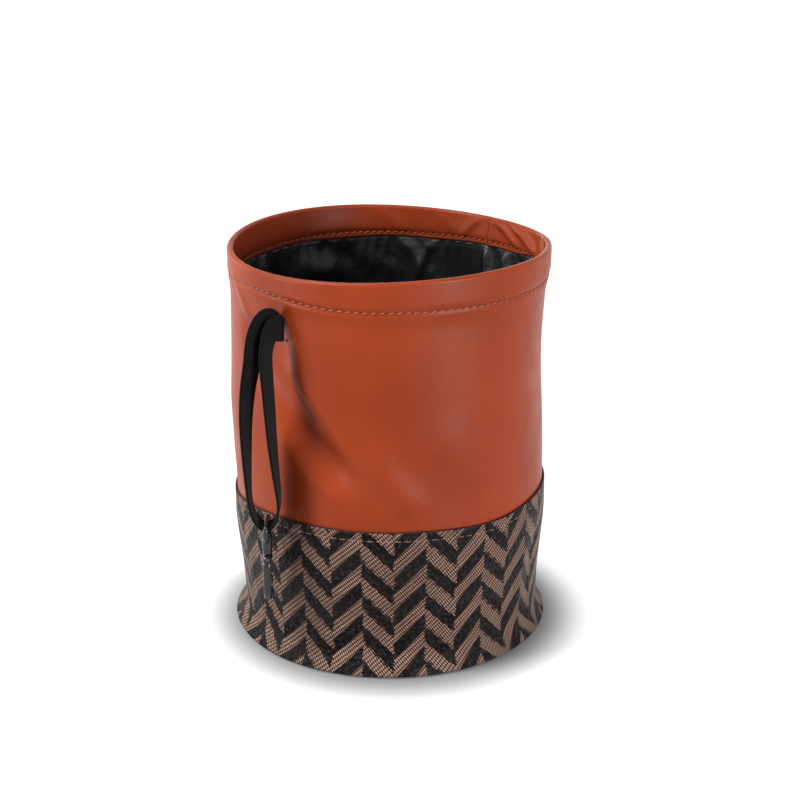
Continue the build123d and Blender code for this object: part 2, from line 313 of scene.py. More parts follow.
def strap_hollow(angle, height):
    """Depth of the hollow where the strap draws the wall in, up to a slanted fold on its right."""
    fold_heights, fold_angles = zip(*STRAP_FOLD)
    from_fold = turned(np.interp(height / MM, fold_heights, fold_angles), angle) * degree_arc()
    right_flank, left_flank = smooth(-0.001, 0.017, from_fold), smooth(0.042, 0.020, from_fold)
    foot, head = smooth(0.074, 0.108, height), smooth(0.178, 0.164, height)
    tip = smooth(-97, -113, turned(angle, 0))
    return HOLLOW_DEPTH * right_flank * left_flank * tip * foot * head


def wall_shift(angle, height):
    """How far the soft leather wall stands out from its round form."""
    s = sizes()
    waves = 0.22 * np.sin(np.radians(3 * angle + 900 * height)) * np.sin(np.radians(1900 * height + 40))
    dents = sum(lift * dent(angle, height / MM, *place) for lift, *place in WALL_DENTS)
    soft = (dents + waves) * MM + crease_lift(LEATHER_CREASES, angle, height) - strap_hollow(angle, height)
    below_rim = 0.12 + 0.88 * smooth(s.bin_height - 0.004, s.bin_height - 0.019, height)
    above_band = 0.35 + 0.65 * smooth(s.band_height - 0.004, s.band_height + 0.02, height)
    return soft * below_rim * above_band


def stitch_level(angle):
    """Height of the hem's stitching at an angle."""
    climb = sizes().stitch_rise * hump(turned(angle, -141), 0, 24)
    return sizes().bin_height - sizes().stitch_drop + climb + 0.0003 * np.sin(np.radians(4 * angle))


def pucker(angle, count):
    """0 at the middle of a stitch and 1 at its needle holes."""
    return 0.5 - 0.5 * np.cos(np.radians((angle - SEAM_ANGLE) * count))


def hem_bend():
    """Height at which the hem starts to turn over."""
    return sizes().bin_height - sizes().hem_thickness / 2


def wall_radius_at(angle, height):
    """Outer radius of the leather wall and hem."""
    s = sizes()
    level = stitch_level(angle)
    radius = s.rim_radius - s.wall_step * smooth(level + 0.0030, level - 0.0095, height)
    dip = (0.00042 + 0.00022 * pucker(angle, s.hem_stitches)) * hump(height, level, 0.0013)
    slit = 0.0018 * dent(angle, height, STRAP_ANGLE, 3.6, 0.172, 0.012)
    return radius - dip - slit + wall_shift(angle, height)


def facing_radius_at(angle, height):
    """Inner radius of the leather turned in at the rim."""
    s = sizes()
    level = stitch_level(angle)
    radius = s.rim_radius - s.hem_thickness - 0.0014 * smooth(s.bin_height - 0.001, level - 0.001, height)
    dip = (0.00035 + 0.0002 * pucker(angle, s.hem_stitches)) * hump(height, level, 0.0012)
    past = turned(angle, SEAM_ANGLE)
    seam = -0.0012 * smooth(-6.0, -0.3, past) * (past < 0.2) * smooth(0.1998, 0.1975, height)
    folds = crease_lift(FACING_CREASES, angle, height) * smooth(s.bin_height, s.bin_height - 0.004, height)
    return radius + dip + seam + folds


def band_radius_at(angle, height):
    """Outer radius of the lower band."""
    s = sizes()
    widen = smooth(s.waist_top - 0.012, s.shoulder + 0.006, height)
    widest = 0.0012  # height at which the flare ends
    flare = np.clip(1 - (height - widest) / (s.waist_bottom - widest), 0, 1) ** 1.5
    turn_under = 0.0012 * np.clip(1 - height / 0.0014, 0, 1) ** 2
    radius = s.waist_radius + (s.rim_radius - s.waist_radius) * widen
    radius = radius + (s.base_radius - s.waist_radius) * flare - turn_under
    loose = smooth(0.003, 0.012, height) * smooth(s.band_height, s.band_height - 0.016, height)
    waves = 0.25 * np.sin(np.radians(5 * angle + 2400 * height)) * MM
    sides = -0.0007 * dent(angle, height, 190, 40, 0.012, 0.012)
    row = s.band_height - s.band_stitch_drop
    dip = (0.00022 + 0.00012 * pucker(angle, s.band_stitches)) * hump(height, row, 0.0011)
    follow = 0.3 * wall_shift(angle, s.band_height) * smooth(0.045, s.band_height, height)
    return radius - dip + follow + (crease_lift(BAND_CREASES, angle, height) + waves + sides) * loose


def facing_edge(angle):
    """Height of the lower edge of the leather turned in at the rim."""
    lift = 0.0022 * hump(turned(angle, 16), 0, 13) + 0.0004 * np.sin(np.radians(9 * angle))
    return sizes().bin_height - sizes().hem_depth + lift


def band_drop(angle):
    """How far the top edge of the band sags below its plain height."""
    return (1.2 + 5.2 * hump(turned(angle, 185), 0, 26) + 1.6 * hump(turned(angle, -50), 0, 18)) * MM


def band_level(angle, height):
    """Height of a point of the band once its top edge has sagged."""
    return height - band_drop(angle) * smooth(0.024, 0.072, height)


def lining_radius_at(angle, height):
    """Radius of the loose lining, which hangs inside the wall."""
    s = sizes()
    foot = s.waist_radius - 0.0025
    radius = foot + (lining_high.x - 0.0008 - foot) * smooth(s.waist_top, s.shoulder, height)
    radius = radius + np.minimum(wall_shift(angle, height), 0.0)
    level = stitch_level(angle)
    free = smooth(level - 0.001, level - 0.022, height) * smooth(0.004, 0.03, height)
    turns = np.radians(angle)
    drape = 0.5 + 0.5 * np.sin(5 * turns + 60 * height + 1.1 * np.sin(3 * turns + 35 * height))
    drape = drape * (0.6 + 0.4 * np.sin(9 * turns - 80 * height + 2.0))
    small = 0.5 + 0.5 * np.sin(23 * turns + 140 * height + 1.5 * np.sin(7 * turns))
    gathers = hump(height, level - 0.006, 0.007) * (0.5 + 0.5 * np.sin(61 * turns + 2 * np.sin(11 * turns)))
    hang = s.lining_slack * (0.75 * drape + 0.25 * small * drape) * free + 0.0008 * gathers
    folds = crease_lift(LINING_FOLDS, angle, height) * smooth(level, level - 0.008, height)
    edge = facing_edge(angle)
    behind_facing = facing_radius_at(angle, np.maximum(height, edge)) + s.leather_thickness + 0.0002
    tucked = behind_facing - 3 * np.maximum(edge - 0.0003 - height, 0)
    free_radius = np.maximum(radius - hang + folds, tucked)
    return np.minimum(free_radius, wall_radius_at(angle, height) - s.leather_thickness - 0.0008)


def polar(radius, angle, height):
    """Points at a radius, an angle in degrees and a height."""
    turns = np.radians(angle)
    shape = np.broadcast(radius, angle, height).shape
    parts = (radius * np.cos(turns), radius * np.sin(turns), height)
    return np.stack([np.broadcast_to(part, shape) for part in parts], axis=-1)


def rows_at(heights, angles, radius_at, inset=0.0):
    """Rows of points round the bin at these heights, moved in from a surface."""
    return [polar(radius_at(angles, height) - inset, angles, height) for height in heights]


def outward(angle):
    """Direction away from the bin's axis at an angle in degrees."""
    return Vector(polar(1, angle, 0))


def round_angles(columns):
    """Angles of the columns of a tube, starting at the sewn side seam, in degrees."""
    return SEAM_ANGLE + np.arange(columns) * 360 / columns


def link(name, data):
    """Adds an object to the scene."""
    made = bpy.data.objects.new(name, data)
    bpy.context.scene.collection.objects.link(made)
    return made


def add_object(name, mesh, materials):
    """Puts a mesh on the bin with its materials."""
    for material in materials:
        mesh.materials.append(material)
    mesh.shade_smooth()
    piece = link(name, mesh)
    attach(piece, "bin")
    return piece


def dress(node, material):
    """Gives a solid of the frame a new finish."""
    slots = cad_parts[node].data.materials
    slots.clear()
    slots.append(material)


def grid_mesh(name, points, maps, wrap_rows=False, wrap_columns=True):
    """A mesh over a grid of points. A map gives u, v by row and column, with one more of each that wraps."""
    rows, columns, _ = points.shape
    row_count = rows if wrap_rows else rows - 1
    column_count = columns if wrap_columns else columns - 1
    row, column = np.meshgrid(np.arange(row_count), np.arange(column_count), indexing="ij")
    row_next, column_next = row + 1, column + 1
    corner_rows = np.stack([row, row, row_next, row_next], axis=-1).reshape(-1, 4)
    corner_columns = np.stack([column, column_next, column_next, column], axis=-1).reshape(-1, 4)
    faces = (corner_rows % rows) * columns + corner_columns % columns
    mesh = bpy.data.meshes.new(name)
    mesh.from_pydata(points.reshape(-1, 3).tolist(), [], faces.tolist())
    for map_name, values in maps.items():
        layer = mesh.uv_layers.new(name=map_name)
        layer.uv.foreach_set("vector", values[corner_rows, corner_columns].astype(np.float32).ravel())
    return mesh


def add_sheet(name, points, maps, materials, wrap_columns=True):
    """Puts a sheet on the bin; its rows of points run along its face and back behind it."""
    mesh = grid_mesh(name, points, maps, wrap_rows=True, wrap_columns=wrap_columns)
    return add_object(name, mesh, materials)


def lay_map(across, up):
    """Lay of a sheet from the place of each of its columns and rows, in metres."""
    return np.stack(np.broadcast_arrays(across[None, :], up[:, None]), axis=-1)


def cut_map(angles, lengths, radius):
    """Lay of a sheet before sewing: metres round the bin from the side seam, and metres up the sheet."""
    around = np.append(angles, angles[0] + 360) - SEAM_ANGLE
    return lay_map(np.radians(around) * radius, lengths)


def flat_map(points):
    """Lay of a flat round sheet: the place of each point, seen from above."""
    return np.pad(points[:, :, :2], ((0, 1), (0, 1), (0, 0)), mode="wrap")


def sheet_lengths(points, closing):
    """Length up a sheet at each of its rows, and at the first row again when it closes on itself."""
    steps = np.linalg.norm(np.diff(points[:, 0, :], axis=0), axis=1)
    lengths = np.append(0, np.cumsum(steps))
    return np.append(lengths, lengths[-1] + closing)


def route_points(name, controls):
    """Points along the smooth spline that has these control points."""
    curve = bpy.data.curves.new(name, "CURVE")
    curve.dimensions = "3D"
    curve.resolution_u = 10
    spline = curve.splines.new("NURBS")
    spline.points.add(len(controls) - 1)
    for point, place in zip(spline.points, controls):
        point.co = (*place, 1.0)
    spline.order_u = 3
    spline.use_endpoint_u = True
    line = bpy.data.objects.new(name, curve)
    mesh = bpy.data.meshes.new_from_object(line)
    found = [vertex.co.copy() for vertex in mesh.vertices]
    bpy.data.objects.remove(line)
    bpy.data.curves.remove(curve)
    bpy.data.meshes.remove(mesh)
    return found


def closed_ends(mesh, section, rows):
    """Closes the two ends of a swept strip."""
    form = bmesh.new()
    form.from_mesh(mesh)
    form.verts.ensure_lookup_table()
    form.faces.new([form.verts[i] for i in reversed(range(section))])
    form.faces.new([form.verts[(rows - 1) * section + i] for i in range(section)])
    bmesh.ops.recalc_face_normals(form, faces=form.faces)
    form.to_mesh(mesh)
    form.free()
    return mesh


# Finishes


def shade(colour, share):
    """A darker share of a colour."""
    return tuple(share * part for part in colour)


class Nodes:
    """A node tree whose nodes are added one at a time."""

    def __init__(self, tree):
        self.tree = tree
        tree.nodes.clear()

    def feed(self, node, key, value):
        """Sets an input of a node, or links it to another node's socket."""
        if isinstance(value, bpy.types.NodeSocket):
            self.tree.links.new(value, node.inputs[key])
        else:
            node.inputs[key].default_value = value

    def add(self, kind, inputs=None, **settings):
        """Adds a node; an input is a value or another node's socket."""
        node = self.tree.nodes.new(kind)
        for key, value in settings.items():
            setattr(node, key, value)
        for key, value in (inputs or {}).items():
            self.feed(node, key, value)
        return node

    def calc(self, operation, *values):
        """Result of a Math node."""
        return self.add("ShaderNodeMath", dict(enumerate(values)), operation=operation).outputs[0]

    def times(self, first, second):
        """Product of two values."""
        return self.calc("MULTIPLY", first, second)

    def seen(self):
        """1 for what the camera, a reflection or a clear piece shows, and 0 for light on the bin."""
        path = self.add("ShaderNodeLightPath").outputs
        seen = self.calc("MAXIMUM", path["Is Camera Ray"], path["Is Glossy Ray"])
        return self.calc("MAXIMUM", seen, path["Is Transmission Ray"])


class Finish(Nodes):
    """A procedural material."""

    def __init__(self, name, roughness=0.5, specular=0.5):
        self.material = bpy.data.materials.new(name)
        self.material.use_nodes = True
        super().__init__(self.material.node_tree)
        inputs = {"Roughness": roughness, "Specular IOR Level": specular}
        self.shader = self.add("ShaderNodeBsdfPrincipled", inputs)
        self.add("ShaderNodeOutputMaterial", {"Surface": self.shader.outputs[0]})

    def set(self, socket, value):
        """Sets or links a socket of the shader."""
        self.feed(self.shader, socket, value)

    def distance(self, across, along):
        """Distance from the origin of a point on a sheet."""
        squares = self.calc("ADD", self.calc("POWER", across, 2.0), self.calc("POWER", along, 2.0))
        return self.calc("SQRT", squares)

    def lay(self, map_name="cut"):
        """Coordinates of a named map."""
        return self.add("ShaderNodeUVMap", uv_map=map_name).outputs[0]

    def place(self):
        """Coordinates in the bin's own frame, in metres."""
        return self.add("ShaderNodeTexCoord").outputs["Object"]

    def split(self, vector):
        """x, y, z sockets of a vector."""
        return self.add("ShaderNodeSeparateXYZ", {0: vector}).outputs

    def noise(self, vector, scale, detail=3.0, roughness=0.5):
        """Grey noise."""
        values = {"Vector": vector, "Scale": scale, "Detail": detail, "Roughness": roughness}
        return self.add("ShaderNodeTexNoise", values).outputs[0]

    def cells(self, vector, scale, feature="F1"):
        """Distance in a field of cells."""
        values = {"Vector": vector, "Scale": scale}
        return self.add("ShaderNodeTexVoronoi", values, feature=feature).outputs[0]

    def between(self, value, low, high, start=0.0, end=1.0):
        """Maps a range onto another, clamped and eased."""
        values = {"Value": value, "From Min": low, "From Max": high, "To Min": start, "To Max": end}
        return self.add("ShaderNodeMapRange", values, interpolation_type="SMOOTHSTEP").outputs[0]

    def mix(self, factor, first, second):
        """Mix of two colours, each a socket or its red, green and blue."""
        factor_input, first_input, second_input, colour_output = 0, 6, 7, 2
        node = self.add("ShaderNodeMix", {factor_input: factor}, data_type="RGBA")
        for key, colour in ((first_input, first), (second_input, second)):
            self.feed(node, key, colour if isinstance(colour, bpy.types.NodeSocket) else (*colour, 1.0))
        return node.outputs[colour_output]

    def tone(self, value, low, high, first, second):
        """Sets the base colour to a mix of two colours that follows a value."""
        self.set("Base Color", self.mix(self.between(value, low, high), first, second))

    def bump(self, height, strength, distance, under=None):
        """Normal with a bumped height, over another normal."""
        values = {"Height": height, "Strength": strength, "Distance": distance}
        if under is not None:
            values["Normal"] = under
        return self.add("ShaderNodeBump", values).outputs[0]

    def stripes(self, value, pitch):
        """A wave from 0 to 1 that repeats at a pitch."""
        turn = self.times(value, 2 * math.pi / pitch)
        return self.calc("MULTIPLY_ADD", self.calc("SINE", turn), 0.5, 0.5)


def leather_finish():
    """Smooth grained leather with needle holes along the stitching, with painted shade in the holes and
    along the row.
    """
    c, s = colours(), sizes()
    f = Finish("tan_leather", specular=0.20)
    lay = f.lay()
    tone = f.between(f.noise(lay, 22, 4), 0.3, 0.7)
    colour = f.mix(tone, c.leather_dark, c.leather)
    around, off_row, _ = f.split(f.lay("row"))
    turn = math.tau * s.rim_radius
    pitch = turn / s.hem_stitches
    phase = f.calc("FRACT", f.calc("MULTIPLY_ADD", around, 1 / pitch, 0.5))
    from_hole = f.times(f.calc("SUBTRACT", phase, 0.5), pitch)
    hole = f.between(f.distance(from_hole, off_row), 0.00065, 0.0002)
    stitch_row_shade = f.between(f.calc("ABSOLUTE", off_row), 0.0016, 0.0)
    from_seam = f.calc("PINGPONG", f.split(lay)[0], turn / 2)
    seam = f.between(from_seam, 0.0007, 0.0001)
    seam_colour, hole_shade_colour = (0.05, 0.008, 0.003), (0.06, 0.010, 0.004)
    colour = f.mix(f.times(seam, 0.75), colour, seam_colour)
    # painted shade: the leather darkens along the stitch row, as the thread's shadow and the seam's dip
    colour = f.mix(f.times(stitch_row_shade, 0.22), colour, shade(c.leather_dark, 0.55))
    # painted shade: each needle hole is darkened where shade falls in it
    colour = f.mix(f.times(hole, 0.6), colour, hole_shade_colour)
    f.set("Base Color", colour)
    f.set("Roughness", f.between(f.noise(lay, 60, 3), 0.25, 0.75, 0.37, 0.47))
    pores = f.bump(f.cells(lay, 1500), 0.10, 0.0003)
    grain = f.bump(f.noise(lay, 900, 2), 0.12, 0.0003, pores)
    f.set("Normal", f.bump(f.calc("SUBTRACT", 1.0, hole), 0.5, 0.0006, grain))
    return f.material


def band_finish():
    """Coated canvas printed with slanted bars in columns, pebbled all over."""
    c, s = colours(), sizes()
    f = Finish("printed_leather", specular=0.07)
    lay = f.lay()
    u, v, _ = f.split(lay)
    steps = f.stripes(f.calc("ADD", u, v), 0.0017)
    ragged = f.times(f.calc("SUBTRACT", steps, 0.5), 0.0009)
    column = f.calc("DIVIDE", f.calc("ADD", u, ragged), s.column_width)
    inside = f.calc("FRACT", column)
    odd = f.calc("GREATER_THAN", f.calc("FRACT", f.times(column, 0.5)), 0.5)
    lean = f.calc("MULTIPLY_ADD", odd, 2.0, -1.0)
    slide = f.times(f.times(inside, s.column_width), lean)
    step = s.bar_width * 2 * math.sqrt(2)
    shifted = f.calc("MULTIPLY_ADD", odd, step / 2, f.calc("ADD", v, slide))
    bars = f.calc("FRACT", f.calc("DIVIDE", f.calc("ADD", shifted, ragged), step))
    dark = f.calc("GREATER_THAN", bars, 0.5)
    twill = f.stripes(f.calc("ADD", u, f.times(v, 0.7)), 0.00135)
    breaks = f.stripes(f.calc("SUBTRACT", f.times(u, 0.9), v), 0.0026)
    thread = f.times(f.between(twill, 0.35, 0.8), f.between(breaks, 0.05, 0.5))
    brown = f.mix(f.times(thread, 0.75), c.band_brown, c.band_tan)
    pebbles = f.cells(lay, 640, "SMOOTH_F1")
    pebble_highlight, wear_brown = (0.034, 0.028, 0.030), (0.03, 0.02, 0.018)
    # painted highlight: the black print is lighter in the middle of each pebble
    black = f.mix(f.between(pebbles, 0.5, 0.1, 0.0, 0.8), c.band_black, pebble_highlight)
    colour = f.mix(dark, brown, black)
    wear = f.between(f.noise(lay, 45, 4), 0.35, 0.75, 0.0, 0.30)
    f.set("Base Color", f.mix(wear, colour, wear_brown))
    f.set("Roughness", f.between(f.noise(lay, 300, 2), 0.25, 0.75, 0.36, 0.52))
    grain = f.bump(pebbles, 0.9, 0.0009)
    f.set("Normal", f.bump(f.noise(lay, 1300, 2), 0.3, 0.0004, grain))
    return f.material


def edge_finish():
    """Dark paint on a cut edge, a little uneven."""
    f = Finish("edge_paint", specular=0.15)
    spots = f.noise(f.place(), 700)
    worn = (0.05, 0.026, 0.02)
    f.tone(spots, 0.3, 0.8, colours().edge_paint, worn)
    f.set("Normal", f.bump(spots, 0.35, 0.0003))
    return f.material


def underside_finish():
    """Dark pebbled sheet of the base."""
    f = Finish("base_leather", roughness=0.55)
    place = f.place()
    dark, light = (0.022, 0.015, 0.013), (0.034, 0.024, 0.02)
    f.tone(f.noise(place, 60, 4), 0.3, 0.7, dark, light)
    f.set("Normal", f.bump(f.cells(place, 700, "SMOOTH_F1"), 0.5, 0.0006))
    return f.material


def nylon_finish():
    """Thin black nylon with a cool sheen and small crinkles; the sheen is partly painted, lighter on the
    crests.
    """
    f = Finish("black_nylon", specular=0.32)
    lay = f.lay()
    u, v, _ = f.split(lay)
    weave = f.times(f.stripes(u, 0.0007), f.stripes(v, 0.0007))
    crinkle = f.noise(lay, 150, 4, 0.6)
    light = (0.015, 0.0155, 0.0175)
    # painted sheen: the nylon is lighter and cooler where the crinkles stand up
    f.tone(crinkle, 0.35, 0.75, colours().nylon, light)
    f.set("Roughness", f.between(f.noise(lay, 80, 3), 0.3, 0.7, 0.34, 0.48))
    f.set("Sheen Weight", 0.04)
    f.set("Sheen Roughness", 0.35)
    f.set("Normal", f.bump(weave, 0.12, 0.0002, f.bump(crinkle, 0.45, 0.0016)))
    return f.material


def label_finish():
    """Bare black woven label with fine ribs, painted lighter on their tops and darker between them."""
    f = Finish("label_weave", roughness=0.7, specular=0.15)
    u, v, _ = f.split(f.lay())
    ribs = f.times(f.stripes(u, 0.0006), f.stripes(v, 0.0009))
    dark, light = (0.0045, 0.0045, 0.005), (0.012, 0.012, 0.013)
    # painted highlight and shade: lighter on the ribs' tops, darker between them
    f.tone(ribs, 0.1, 0.7, dark, light)
    f.set("Normal", f.bump(ribs, 0.4, 0.0003))
    return f.material


def webbing_finish():
    """Matt black twill webbing, with painted shade between the yarns."""
    black = colours().webbing
    f = Finish("black_webbing", roughness=0.75, specular=0.06)
    lay = f.lay()
    u, v, _ = f.split(lay)
    twill = f.stripes(f.calc("ADD", u, f.calc("ABSOLUTE", v)), 0.0013)
    yarns = f.stripes(v, 0.0010)
    fuzz = f.noise(lay, 1400, 2)
    weave = f.times(f.between(twill, 0.1, 0.8), f.between(yarns, 0.0, 0.6))
    # painted shade: the black is darker between the yarns, where the weave sinks
    colour = f.mix(f.times(weave, 0.8), shade(black, 0.45), black)
    fuzz_grey = (0.018, 0.018, 0.020)
    f.set("Base Color", f.mix(f.between(fuzz, 0.55, 0.8, 0.0, 0.5), colour, fuzz_grey))
    f.set("Sheen Weight", 0.06)
    f.set("Sheen Roughness", 0.5)
    f.set("Normal", f.bump(weave, 0.6, 0.0005, f.bump(fuzz, 0.3, 0.0004)))
    return f.material


def thread_finish(name, colour):
    """Twisted sewing thread, with painted shade in the grooves of the twist."""
    f = Finish(name)
    u, v, _ = f.split(f.lay())
    twist = f.stripes(f.calc("ADD", u, f.times(v, 0.5)), 0.0007)
    # painted shade: darker in the grooves between the twists
    f.tone(twist, 0.0, 0.7, shade(colour, 0.45), colour)
    f.set("Sheen Weight", 0.15)
    f.set("Normal", f.bump(twist, 0.6, 0.0003))
    return f.material


def enamel_finish():
    """Gloss black enamel on cast metal, with faint handling marks."""
    f = Finish("black_metal")
    place = f.place()
    marks = f.noise(place, 260, 4, 0.6)
    rubbed = (0.016, 0.016, 0.017)
    f.tone(marks, 0.55, 0.8, colours().enamel, rubbed)
    f.set("Roughness", f.between(marks, 0.3, 0.75, 0.10, 0.22))
    f.set("Normal", f.bump(f.noise(place, 420, 2), 0.06, 0.0004))
    return f.material


def steel_finish():
    """Bright drawn steel of the pin and spring."""
    f = Finish("pin_steel")
    drawn = f.noise(f.place(), 900)
    dark, light = (0.32, 0.32, 0.33), (0.48, 0.48, 0.49)
    f.set("Metallic", 1.0)
    f.tone(drawn, 0.3, 0.7, dark, light)
    f.set("Roughness", f.between(drawn, 0.3, 0.7, 0.24, 0.4))
    return f.material


def plastic_finish(name, colour):
    """Plain moulded plastic with a fine matt texture."""
    f = Finish(name)
    dust = f.noise(f.place(), 500)
    f.tone(dust, 0.3, 0.7, shade(colour, 0.8), colour)
    f.set("Normal", f.bump(dust, 0.2, 0.0003))
    return f.material


# Sewing


def thread_mesh(name, stitches, radius, rings=7, sides=8):
    """Separate stitches, each a middle, a direction, a normal and a length; the ends sink into the sheet."""
    share = np.linspace(-1, 1, rings)
    around = np.arange(sides) * math.tau / sides
    points, faces, lay = [], [], []
    for middle, along, normal, length in stitches:
        along, normal = along.normalized(), normal.normalized()
        side = along.cross(normal).normalized()
        start = len(points)
        for t in share:
            centre = middle + along * (t * length / 2) + normal * (radius * (1.15 - 2.2 * abs(t) ** 3))
            thick = radius * (1 - 0.45 * abs(t) ** 4)
            for a in around:
                points.append(centre + side * (math.cos(a) * thick) + normal * (math.sin(a) * thick))
                lay.append(((t + 1) * length / 2, a * radius))
        for ring in range(rings - 1):
            for i in range(sides):
                j = (i + 1) % sides
                a, b = start + ring * sides, start + (ring + 1) * sides
                faces.append((a + i, a + j, b + j, b + i))
        faces.append(tuple(start + i for i in reversed(range(sides))))
        faces.append(tuple(start + (rings - 1) * sides + i for i in range(sides)))
    mesh = bpy.data.meshes.new(name)
    mesh.from_pydata(points, [], faces)
    layer = mesh.uv_layers.new(name="cut")
    for loop in mesh.loops:
        layer.uv[loop.index].vector = lay[loop.vertex_index]
    return mesh


def sew(name, stitches, radius, finish):
    """Adds a row of stitches to the bin."""
    add_object(name, thread_mesh(name, stitches, radius), [finish])


def round_stitches(count, place, outwards, lean, share, wander):
    """Stitches of one turn of the bin. place gives a radius and a height at an angle, outwards is 1 or -1,
    lean tips each stitch, share is how much of the pitch it covers, and wander makes the row uneven."""
    made = []
    reach = 0.2  # share of the pitch, on both sides of the middle, that gives a stitch its direction
    scatter = 12.9898  # radians from stitch to stitch, so that the unevenness doesn't repeat
    for k in range(count):
        angle = SEAM_ANGLE + (k + 0.5) * 360 / count
        step = reach * 360 / count
        ends = []
        for end_angle in (angle - step, angle + step):
            radius, height = place(end_angle)
            ends.append(Vector(polar(float(radius), end_angle, float(height))))
        along = ends[1] - ends[0]
        length = share * along.length / (2 * reach)
        along = along.normalized() + Vector((0, 0, lean + wander * math.sin(k * scatter)))
        made.append(((ends[0] + ends[1]) / 2, along, outward(angle) * outwards, length))
    return made


def hem_place(angle):
    """Radius and height of the hem's stitching on the outside."""
    level = stitch_level(angle)
    return wall_radius_at(angle, level), level


def facing_place(angle):
    """Radius and height of the hem's stitching on the inside."""
    level = stitch_level(angle)
    return facing_radius_at(angle, level), level


def band_place(angle):
    """Radius and height of the stitching along the band's top edge."""
    row = sizes().band_height - sizes().band_stitch_drop
    return band_radius_at(angle, row), band_level(angle, row)


# Operators


class CARBIN_OT_leather_wall(Operator):
    """Make the leather wall with its folded rim"""

    bl_idname = "carbin.leather_wall"
    bl_label = "Leather Wall"

    def execute(self, context):
        s = sizes()
        angles = round_angles(4 * s.hem_stitches)
        seen = self.wall_rows(angles) + self.fold_rows(angles) + self.facing_rows(angles)
        points = np.array(seen + self.hidden_rows(angles))
        wave = 0.0015 * np.cos(np.radians(2 * (angles - 130))) + 0.0006 * hump(turned(angles, 4), 0, 9)
        below_hem = s.bin_height - s.hem_depth - 0.004
        points[:, :, 2] += wave * smooth(below_hem, s.bin_height, points[:, :, 2])
        cut = cut_map(angles, sheet_lengths(points, s.leather_thickness), s.rim_radius)
        off_row = points[:, :, 2] - stitch_level(angles)
        off_row[len(seen) :] = 1.0  # metres, far from any stitch
        row = cut.copy()
        row[:, :, 1] = np.pad(off_row, ((0, 1), (0, 1)), mode="wrap")
        wall = add_sheet("leather_wall", points, {"cut": cut, "row": row}, [leather_finish()])
        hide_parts("upper_panel")
        return {"FINISHED"}

    def wall_rows(self, angles):
        """Outside of the wall up to the bend of the hem, finer in the hem."""
        bend, hem, step = hem_bend(), 0.180, 0.0007
        heights = [*np.linspace(sizes().panel_bottom, hem, 54), *np.arange(hem + step, bend, step), bend]
        return rows_at(heights, angles, wall_radius_at)

    def fold_rows(self, angles):
        """Round fold over the rim."""
        bend, rise = hem_bend(), sizes().hem_thickness / 2
        outer, inner = wall_radius_at(angles, bend), facing_radius_at(angles, bend)
        middle, half = (outer + inner) / 2, (outer - inner) / 2
        rows = []
        for turn in np.linspace(0, math.pi, 13)[1:-1]:
            rows.append(polar(middle + half * math.cos(turn), angles, bend + rise * math.sin(turn) ** 0.9))
        return rows

    def facing_rows(self, angles):
        """Leather turned in at the rim, down to its cut edge."""
        bend, end = hem_bend(), facing_edge(angles) + 0.0005
        heights = [bend + (end - bend) * share for share in np.linspace(0, 1, 22)]
        return rows_at(heights, angles, facing_radius_at)

    def hidden_rows(self, angles):
        """Cut edge and back of the facing, then the inside of the wall."""
        s = sizes()
        thick, bend, edge = s.leather_thickness, hem_bend(), facing_edge(angles)
        edge_radius = facing_radius_at(angles, edge + 0.0005)
        rows = []
        for share, rise in ((0.25, 0.0001), (0.75, 0.0001), (1.0, 0.0005)):
            rows.append(polar(edge_radius + share * thick, angles, edge + rise))
        rows += rows_at((0.188, 0.193, bend - 0.0004), angles, facing_radius_at, -thick)
        inside = (bend - 0.0004, 0.191, 0.186, 0.182, *np.linspace(0.176, s.panel_bottom, 24))
        return rows + rows_at(inside, angles, wall_radius_at, thick)


class CARBIN_OT_printed_band(Operator):
    """Make the printed lower band with its painted edge"""

    bl_idname = "carbin.printed_band"
    bl_label = "Printed Band"

    def execute(self, context):
        s = sizes()
        angles = round_angles(4 * s.hem_stitches)
        thick, lip = s.band_thickness, s.band_height - 0.0003
        flap, flap_rows = s.base_radius - s.flap_width, 5
        cut_edge = 0.0006 * np.sin(np.radians(7 * angles)) + 0.0004 * np.sin(np.radians(13 * angles + 50))
        rows = []
        for radius in np.linspace(flap, s.base_radius - 0.0016, 6):
            rows.append(polar(radius + cut_edge * (radius < flap + 0.002), angles, 0.0))
        face_start = len(rows)
        foot_heights = (0.0002, 0.0006, 0.0011, 0.0018, 0.0026)
        for height in (*foot_heights, *np.arange(0.0035, s.band_height - 0.0006, 0.0011), lip):
            rows.append(polar(band_radius_at(angles, height), angles, band_level(angles, height)))
        edge_start = len(rows) - 1
        for share in (0.25, 0.75):
            radius = band_radius_at(angles, lip) - share * thick
            rows.append(polar(radius, angles, band_level(angles, s.band_height)))
        edge_end = len(rows)
        for height in (lip, *np.linspace(s.band_height - 0.004, 0.0046, 32), 0.0032, 0.002):
            rows.append(polar(band_radius_at(angles, height) - thick, angles, band_level(angles, height)))
        for radius in np.linspace(s.base_radius - 2 * thick, flap, flap_rows):
            rows.append(polar(radius, angles, thick))
        points = np.array(rows)
        lengths = sheet_lengths(points, thick)
        cut = cut_map(angles, lengths - lengths[face_start], s.rim_radius)
        printed, painted, plain = range(3)
        row_finish = np.full(len(rows), printed, np.int32)
        row_finish[edge_start:edge_end] = painted
        row_finish[edge_end : len(rows) - flap_rows] = plain
        finishes = [band_finish(), edge_finish(), underside_finish()]
        band = add_sheet("printed_band", points, {"cut": cut}, finishes)
        band.data.polygons.foreach_set("material_index", np.repeat(row_finish, len(angles)))
        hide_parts("lower_band")
        return {"FINISHED"}


